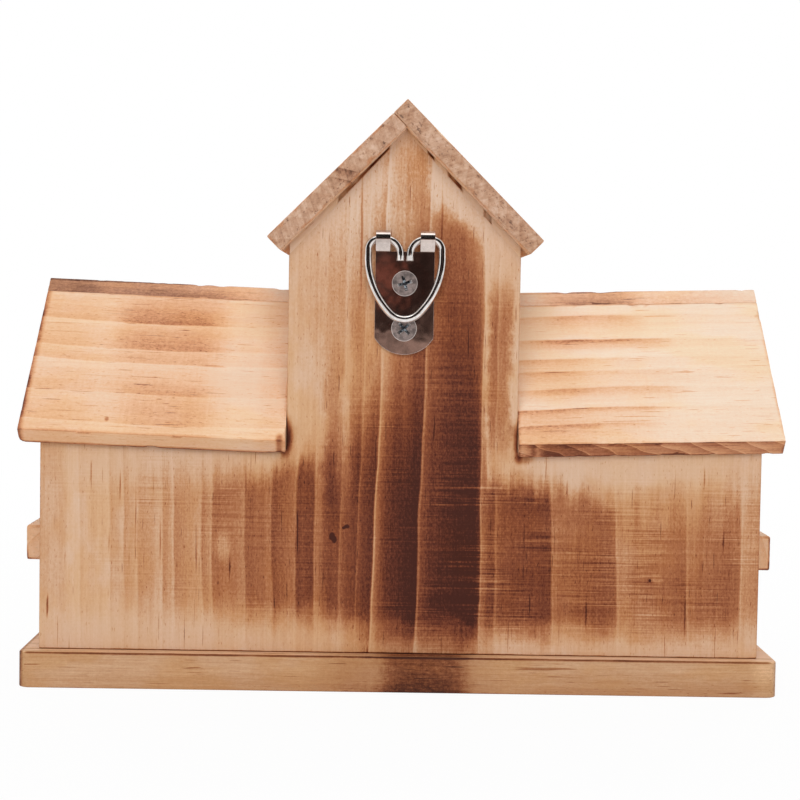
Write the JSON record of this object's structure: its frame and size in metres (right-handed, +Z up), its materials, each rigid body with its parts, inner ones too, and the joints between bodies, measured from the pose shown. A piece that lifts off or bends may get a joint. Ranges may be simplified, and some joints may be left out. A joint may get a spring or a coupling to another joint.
{
  "type": "hanging birdhouse",
  "caption": "Wooden birdhouse with a gabled tower between two low pitched-roof wings on a base board, round entrances with ledges, and a swinging wire ring on the back to hang it by.",
  "frame": {"origin": "middle of the base board's underside", "axes": "+Z up, +X to the right as seen from the front, the front faces -Y and the hanger's side faces +Y"},
  "size_m": [0.237, 0.095, 0.1786],
  "materials": {
    "scorched_pine": "scorched, satin",
    "roof_pine": "scorched, satin",
    "ledge_pine": "sawn",
    "base_pine": "scorched, satin",
    "plated_sheet": "polished plate",
    "plated_wire": "polished plate",
    "zinc_screw": "zinc",
    "brad_steel": "bare"
  },
  "bodies": {
    "house": {"base_board": "base_pine", "back_board": "scorched_pine", "front_board": "scorched_pine", "left_end_wall": "scorched_pine", "right_end_wall": "scorched_pine", "left_tower_wall": "scorched_pine", "right_tower_wall": "scorched_pine", "loft_floor": "scorched_pine", "tower_roof_left": "roof_pine", "tower_roof_right": "roof_pine", "left_wing_roof_back": "roof_pine", "left_wing_roof_front": "roof_pine", "right_wing_roof_back": "roof_pine", "right_wing_roof_front": "roof_pine", "left_end_ledge": "ledge_pine", "right_end_ledge": "ledge_pine", "left_front_ledge": "ledge_pine", "right_front_ledge": "ledge_pine", "tower_lower_ledge": "ledge_pine", "tower_upper_ledge": "ledge_pine", "hanger_plate": "plated_sheet", "upper_hanger_screw": "zinc_screw", "lower_hanger_screw": "zinc_screw", "back_board_brads": "brad_steel", "front_board_brads": "brad_steel", "base_brads": "brad_steel"},
    "ring": {"hanger_ring": "plated_wire"}
  },
  "joints": [
    {"name": "ring_swing", "type": "hinge", "parent": "house", "child": "ring", "pos_m": [0, 0.0426, 0.137], "axis": [1, 0, 0], "range_deg": [0, 180]}
  ]
}
